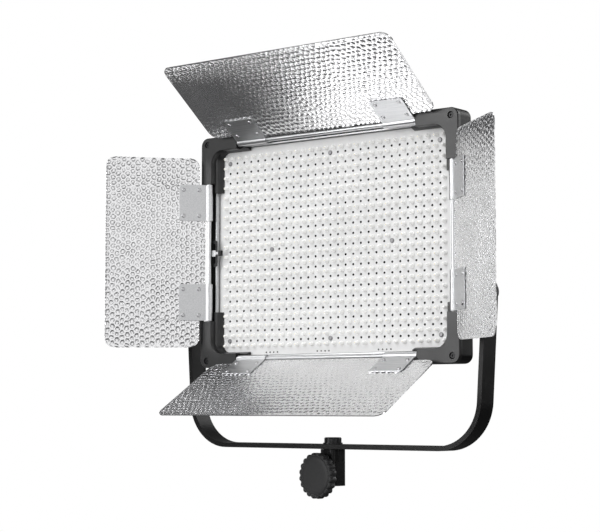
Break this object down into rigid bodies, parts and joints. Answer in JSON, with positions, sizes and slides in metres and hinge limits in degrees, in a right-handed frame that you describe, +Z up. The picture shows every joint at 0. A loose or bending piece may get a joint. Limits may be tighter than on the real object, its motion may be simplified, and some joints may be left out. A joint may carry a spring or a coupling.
{
  "type": "led panel light",
  "caption": "Studio LED panel light with folding hammered aluminium barn doors on a U-shaped yoke with a stand receiver and clamp knob.",
  "frame": {"origin": "mouth of the stand socket, on the pan axis", "axes": "+Z up, the light shines towards -Y, +X to the right of someone facing the light"},
  "size_m": [0.4951, 0.1647, 0.459],
  "materials": {
    "black_paint": "satin powder coat",
    "black_plastic": "fine texture",
    "guard_plastic": "fine texture",
    "knob_plastic": "matte",
    "steel": "zinc plated",
    "black_steel": "blackened",
    "aluminium": "satin",
    "hammered_aluminium": "hammered, bright",
    "white_board": "white solder mask",
    "led_lens": "clear domes",
    "green_board": "circuit board",
    "display_glass": "dark tinted",
    "brass": "plated contacts",
    "rubber": "matte"
  },
  "bodies": {
    "receiver": {"receiver_block": "black_paint", "pan_washer": "steel", "pan_bolt": "black_steel"},
    "clamp_knob": {"clamp_knob": "knob_plastic", "clamp_screw": "steel"},
    "yoke": {"yoke_bar": "black_paint", "pivot_washers": "rubber"},
    "tilt_knob": {"tilt_knob": "knob_plastic", "tilt_screw": "steel"},
    "head": {"rear_shell": "black_paint", "corner_guards": "guard_plastic", "guard_screws": "black_steel", "hinge_rods": "aluminium", "light_frame": "aluminium", "heat_plate": "aluminium", "led_board": "white_board", "led_emitters": "led_lens", "board_screws": "steel", "latch_keeper": "black_steel", "tilt_bosses": "black_steel", "pivot_bolt": "black_steel", "rear_case": "black_plastic", "case_screws": "black_steel", "driver_board": "green_board", "display_bezel": "black_plastic", "display_window": "display_glass", "battery_plates": "black_plastic", "battery_contacts": "brass", "switch_bezel": "black_plastic", "dc_jack": "steel"},
    "filter_latch": {"latch_carriage": "steel", "latch_tip": "rubber"},
    "battery_release_left": {"battery_release_left": "black_plastic"},
    "battery_release_right": {"battery_release_right": "black_plastic"},
    "brightness_dial": {"brightness_dial": "knob_plastic"},
    "colour_dial": {"colour_dial": "knob_plastic"},
    "mode_button": {"mode_button": "rubber"},
    "channel_button": {"channel_button": "rubber"},
    "group_button": {"group_button": "rubber"},
    "power_rocker": {"power_rocker": "black_plastic"},
    "door_left": {"door_sheet_left": "hammered_aluminium", "hinge_plates_left": "aluminium", "hinge_rivets_left": "steel"},
    "door_right": {"door_sheet_right": "hammered_aluminium", "hinge_plates_right": "aluminium", "hinge_rivets_right": "steel"},
    "door_top": {"door_sheet_top": "hammered_aluminium", "hinge_plates_top": "aluminium", "hinge_rivets_top": "steel"},
    "door_bottom": {"door_sheet_bottom": "hammered_aluminium", "hinge_plates_bottom": "aluminium", "hinge_rivets_bottom": "steel"}
  },
  "joints": [
    {"name": "clamp_knob_turn", "type": "hinge", "parent": "receiver", "child": "clamp_knob", "pos_m": [0, 0, 0.011], "axis": [-0.1219, -0.9925, 0], "continuous": true},
    {"name": "pan", "type": "hinge", "parent": "receiver", "child": "yoke", "pos_m": [0, 0, 0.0385], "axis": [0, 0, 1], "range_deg": [-170, 170]},
    {"name": "tilt", "type": "hinge", "parent": "yoke", "child": "head", "pos_m": [0, 0, 0.1965], "axis": [1, 0, 0], "range_deg": [-60, 15]},
    {"name": "tilt_knob_turn", "type": "hinge", "parent": "head", "child": "tilt_knob", "pos_m": [-0.2, 0, 0.1965], "axis": [-1, 0, 0], "continuous": true},
    {"name": "filter_latch_slide", "type": "slide", "parent": "head", "child": "filter_latch", "axis": [0, 0, 1], "range_m": [-0.0085, 0.0085]},
    {"name": "door_left_hinge", "type": "hinge", "parent": "head", "child": "door_left", "pos_m": [-0.162, -0.014, 0.254], "axis": [0, 0, 1], "range_deg": [-32.4, 128.6]},
    {"name": "door_right_hinge", "type": "hinge", "parent": "head", "child": "door_right", "pos_m": [0.162, -0.014, 0.254], "axis": [0, 0, -1], "range_deg": [-22.2, 138.8]},
    {"name": "door_top_hinge", "type": "hinge", "parent": "head", "child": "door_top", "pos_m": [0, -0.014, 0.3735], "axis": [1, 0, 0], "range_deg": [-37.7, 92.3]},
    {"name": "door_bottom_hinge", "type": "hinge", "parent": "head", "child": "door_bottom", "pos_m": [0, -0.014, 0.1345], "axis": [-1, 0, 0], "range_deg": [-44.4, 85.6]},
    {"name": "battery_release_left_press", "type": "slide", "parent": "head", "child": "battery_release_left", "axis": [0, -1, 0], "range_m": [0, 0.0008], "stiffness_N_per_m": 600},
    {"name": "battery_release_right_press", "type": "slide", "parent": "head", "child": "battery_release_right", "axis": [0, -1, 0], "range_m": [0, 0.0008], "stiffness_N_per_m": 600},
    {"name": "brightness_dial_turn", "type": "hinge", "parent": "head", "child": "brightness_dial", "pos_m": [-0.062, 0.035, 0.216], "axis": [0, 1, 0], "range_deg": [-150, 150]},
    {"name": "colour_dial_turn", "type": "hinge", "parent": "head", "child": "colour_dial", "pos_m": [0.062, 0.035, 0.216], "axis": [0, 1, 0], "range_deg": [-150, 150]},
    {"name": "mode_button_press", "type": "slide", "parent": "head", "child": "mode_button", "axis": [0, -1, 0], "range_m": [0, 0.001], "stiffness_N_per_m": 300},
    {"name": "channel_button_press", "type": "slide", "parent": "head", "child": "channel_button", "axis": [0, -1, 0], "range_m": [0, 0.001], "stiffness_N_per_m": 300},
    {"name": "group_button_press", "type": "slide", "parent": "head", "child": "group_button", "axis": [0, -1, 0], "range_m": [0, 0.001], "stiffness_N_per_m": 300},
    {"name": "power_rocker_turn", "type": "hinge", "parent": "head", "child": "power_rocker", "pos_m": [-0.098, 0.035, 0.21], "axis": [1, 0, 0], "range_deg": [0, 12]}
  ]
}
